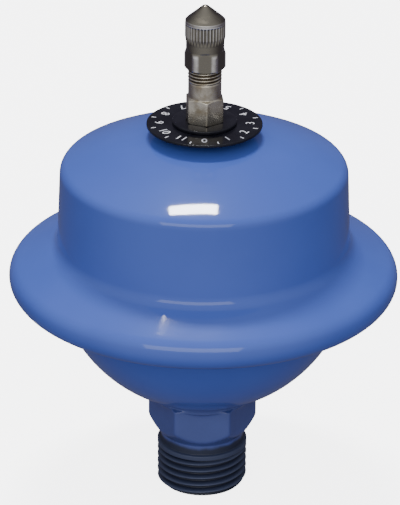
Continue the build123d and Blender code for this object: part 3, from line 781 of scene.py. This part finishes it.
def valve_stem():
    """The stem's outside from the tail's end up to the mouth, then its bores back down."""
    columns = 192
    turn = angles(columns)
    hex_end = STEM_Z + STEM_HEX_HEIGHT
    rows = levels((STEM_FOOT, 0), (STEM_Z - 0.01, 0.3), (STEM_Z, 0.01), (STEM_Z + 0.5, 0.06),
                  (hex_end - 1.2, 0.4), (hex_end + 0.1, 0.06), (PLAIN_TOP, 0.4),
                  (STEM_TOP, STEM_PITCH / 12))[:, None]
    outside = stem_outside(turn, rows + 0 * turn)
    plug_low, plug_high = node_span("core_plug")
    cup_low, _ = node_span("core_cup")
    gasket_low, _ = node_span("core_gasket")
    room = cup_low - 2.0
    bores = np.array([(STEM_RADIUS - STEM_DEPTH - 0.25, STEM_TOP), (CORE_BORE + 0.1, STEM_TOP),
                      (CORE_BORE, STEM_TOP - 0.1), (CORE_BORE, plug_high), (CORE_BORE, plug_low),
                      (CORE_BORE, gasket_low + 1), (SEAT_BORE, gasket_low), (SEAT_BORE, room + 0.1),
                      (SEAT_BORE - 0.1, room), (GAS_BORE + 0.1, room), (GAS_BORE, room - 0.1),
                      (GAS_BORE, STEM_FOOT + 0.1), (GAS_BORE + 0.1, STEM_FOOT)])
    radius = np.concatenate([outside, np.broadcast_to(bores[:, :1], (len(bores), columns))])
    height = np.concatenate([np.broadcast_to(rows, outside.shape),
                             np.broadcast_to(bores[:, 1:], (len(bores), columns))])
    piece("charging_valve", radius, height, "housing", "valve_stem", slot="nickel_plate",
          material=STEM_NICKEL)


valve_stem()


# Cap

def cap_outline():
    """Section of the cap from the ceiling's centre, down the bore, round the foot, and up the
    outside to the tip."""
    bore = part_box("cap_seal")[1].x / MM + CAP_ROOM
    foot, tip_z = CAP_Z, CAP_TOP - CAP_TIP
    slope = degrees(atan2(tip_z - CAP_Z - CAP_CONE_FOOT, CAP_SHOULDER)) + 20
    tip = arc((0, tip_z), CAP_TIP, slope, 90, 8)
    corners = [(0, SEAL_TOP + SEAT_GAP), (bore, SEAL_TOP + SEAT_GAP), (bore, foot + FOOT_BEVEL),
               (bore + FOOT_BEVEL, foot), (CAP_CORNER - FOOT_EDGE, foot),
               (CAP_CORNER, foot + FOOT_EDGE),
               (CAP_CORNER, foot + CAP_FLAT_HEIGHT),
               (CAP_WAIST, foot + CAP_FLAT_HEIGHT + CAP_FLARE),
               (CAP_WAIST, foot + CAP_WAIST_TOP), (CAP_GRIP, foot + CAP_GRIP_FULL),
               (CAP_GRIP, foot + CAP_GRIP_TOP), (CAP_LIP, foot + CAP_GRIP_TOP + 0.05),
               (CAP_LIP, foot + CAP_LIP_TOP), (CAP_SHOULDER, foot + CAP_CONE_FOOT), tuple(tip[0])]
    radii = [0, 0.1, 0.1, 0.1, 0.1, 0.1, 0.1, 0.3, 0.3, 0.3, 0.05, 0.05, 0.15, 0.15, 0.0]
    body = rounded(corners, radii, closed=False, run=0.25)
    return np.concatenate([body[:-1], tip])


def valve_cap():
    """The cap: its section carried round the axis, cut by six flats below and by straight ridges,
    a triangle wave round the axis, on the grip."""
    columns = CAP_RIDGES * 8
    turn = angles(columns)
    outline = cap_outline()
    radius, height = outline[:, :1] + 0 * turn, outline[:, 1:] + 0 * turn
    outer = np.arange(len(outline))[:, None] > np.argmin(outline[:, 1])
    flat_end = CAP_Z + CAP_FLAT_HEIGHT + CAP_FLARE
    flats = hexagon(turn, CAP_FLATS) + 2 * np.maximum(height - flat_end, 0)
    cut = np.where(outer & (height < flat_end + 1), smaller(np.maximum(radius, 0.1), flats), radius)
    wave = np.abs((turn * CAP_RIDGES / (2 * pi)) % 1 * 2 - 1)
    low, high = CAP_Z + CAP_WAIST_TOP, CAP_Z + CAP_GRIP_TOP
    depth = RIDGE_DEPTH * RIDGE_CUT * (ease((height - low) / RIDGE_START)
                                       * ease((high - height) / RIDGE_STOP))
    radius = np.where(outer, np.maximum(cut - depth * wave, 0), radius)
    piece("valve_cap", radius, height, "cap", "cap_shell", slot="nickel_plate",
          material=CAP_NICKEL)


valve_cap()
seal_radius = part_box("cap_seal")[1].x / MM
turned("cap_seal_disc", rounded([(0, SEAL_Z), (seal_radius, SEAL_Z), (seal_radius, SEAL_TOP),
                                 (0, SEAL_TOP)], [0, 0.2, 0.2, 0], closed=False),
       "cap_carrier", "cap_seal", slot="rubber", material=RUBBER, columns=96)


# Inside

def rolling_diaphragm():
    """The diaphragm: its solid's own mesh, welded and finished in rubber, in place of its CAD node."""
    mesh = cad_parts["diaphragm"].data.copy()
    mesh.materials.clear()
    mesh.materials.append(RUBBER)
    weld = bmesh.new()
    weld.from_mesh(mesh)
    bmesh.ops.remove_doubles(weld, verts=weld.verts[:], dist=1e-7)
    weld.to_mesh(mesh)
    weld.free()
    made = bpy.data.objects.new("rolling_diaphragm", mesh)
    bpy.context.scene.collection.objects.link(made)
    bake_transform(made)
    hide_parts("diaphragm")


# Inner pieces keep their own meshes and get their finishes
INNER = {"diaphragm_button": STEEL, "clamp_ring": STEEL, "valve_oring": RUBBER,
         "core_plug": BRASS, "core_barrel": BRASS, "core_gasket": RUBBER, "core_pin": BRASS,
         "core_cup": BRASS, "core_seat_seal": RUBBER, "core_spring": STEEL}
for node, material in INNER.items():
    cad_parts[node].data.materials.clear()
    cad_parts[node].data.materials.append(material)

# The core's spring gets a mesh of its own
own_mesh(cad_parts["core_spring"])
rolling_diaphragm()


# Studio

# Each light's azimuth and elevation in degrees, distance, size, power and shift along X
LIGHTS = {"key": (180, 74.3, 1.2, (0.30, 0.10), 13, -0.066),
          "back": (180, 54, 1.3, (0.05, 0.35), 0.4, -0.005),
          "front": (-6, 32, 1.6, (1.5, 0.7), 9, 0.0)}
LIGHT_TARGET = 0.06
FLOOR_REACH = 3.0
FLOOR_TONES = (0.93, 0.93, 0.94, 1), (0.91, 0.91, 0.92, 1)
FLOOR_GLOW = 4.5
ROOM_LEAN = (-0.10, -0.78, 0.62)
ROOM_TONES = (0.14, 0.13, 0.17, 1), (0.88, 0.91, 1.0, 1)


def place_camera():
    """Aims the camera so that the axis point at AIM_HEIGHT shows at AXIS_PIXEL, then rolls it."""
    up = radians(VIEW_ELEVATION)
    back, lift = np.array([0, -cos(up), sin(up)]), np.array([0, sin(up), cos(up)])
    aim = np.array([0, 0, AIM_HEIGHT])
    scale = VIEW_DISTANCE / FOCAL_PIXELS
    target = aim + lift * (AXIS_PIXEL[1] - PICTURE[1] / 2) * scale
    target[0] -= (AXIS_PIXEL[0] - PICTURE[0] / 2) * scale
    spot = aim + back * VIEW_DISTANCE
    camera = bpy.data.objects.new("camera", bpy.data.cameras.new("camera"))
    camera.data.sensor_width = SENSOR
    camera.data.lens = FOCAL_PIXELS * SENSOR / max(PICTURE)
    camera.data.clip_start, camera.data.clip_end = 0.05, 20
    camera.location = Vector(spot * MM)
    camera.rotation_mode = "QUATERNION"
    aimed = Vector((target - spot).tolist()).to_track_quat("-Z", "Y")
    camera.rotation_quaternion = aimed @ Quaternion((0, 0, 1), radians(CAMERA_ROLL))
    bpy.context.scene.collection.objects.link(camera)
    bpy.context.scene.camera = camera


def soft_light(name, azimuth, elevation, distance, size, power, aside):
    """A rectangular light that faces the object, at an azimuth from -Y towards +X and an elevation,
    in degrees, at a distance in metres, and then moved aside along X."""
    light = bpy.data.lights.new(name, "AREA")
    light.shape, light.size, light.size_y = "RECTANGLE", *size
    light.energy = power
    lamp = bpy.data.objects.new(name, light)
    a, e = radians(azimuth), radians(elevation)
    away = Vector((sin(a) * cos(e), -cos(a) * cos(e), sin(e)))
    lamp.location = Vector((aside, 0, LIGHT_TARGET)) + away * distance
    lamp.rotation_mode = "QUATERNION"
    lamp.rotation_quaternion = away.to_track_quat("Z", "Y")
    bpy.context.scene.collection.objects.link(lamp)


def studio():
    """Pale floor, pale surroundings, one key light over the object and soft fills."""
    corners = [(x * FLOOR_REACH, y * FLOOR_REACH, 0)
               for x, y in ((-1, -1), (1, -1), (1, 1), (-1, 1))]
    mesh = bpy.data.meshes.new("floor")
    mesh.from_pydata(corners, [], [(0, 1, 2, 3)])
    floor = bpy.data.objects.new("floor", mesh)
    bpy.context.scene.collection.objects.link(floor)
    material, tree, shader = new_finish("pale_floor", Roughness=0.8)
    tone = mixed(tree, noise_node(tree, 3.0).outputs["Fac"], *FLOOR_TONES)
    tree.links.new(tone, shader.inputs["Base Color"])
    socket_values(shader, {"Emission Color": (1, 1, 1, 1), "Emission Strength": FLOOR_GLOW})
    mesh.materials.append(material)
    floor.visible_diffuse = floor.visible_glossy = False
    pale_room()
    for name, values in LIGHTS.items():
        soft_light(name, *values)


def pale_room():
    """Surroundings that are bright above and in front, darker behind, at the sides and below: the
    brightness goes with the direction's share along a line that leans towards the camera."""
    world = bpy.data.worlds.new("pale_room")
    bpy.context.scene.world = world
    world.use_nodes = True
    tree = world.node_tree
    spot = tree.nodes.new("ShaderNodeTexCoord")
    share = tree.nodes.new("ShaderNodeVectorMath")
    share.operation = "DOT_PRODUCT"
    share.inputs[1].default_value = ROOM_LEAN
    tree.links.new(spot.outputs["Generated"], share.inputs[0])
    bright = ranged(tree, share.outputs["Value"], -0.5, 1.0)
    shade = mixed(tree, bright, *ROOM_TONES)
    tree.links.new(shade, tree.nodes["Background"].inputs["Color"])


place_camera()
studio()
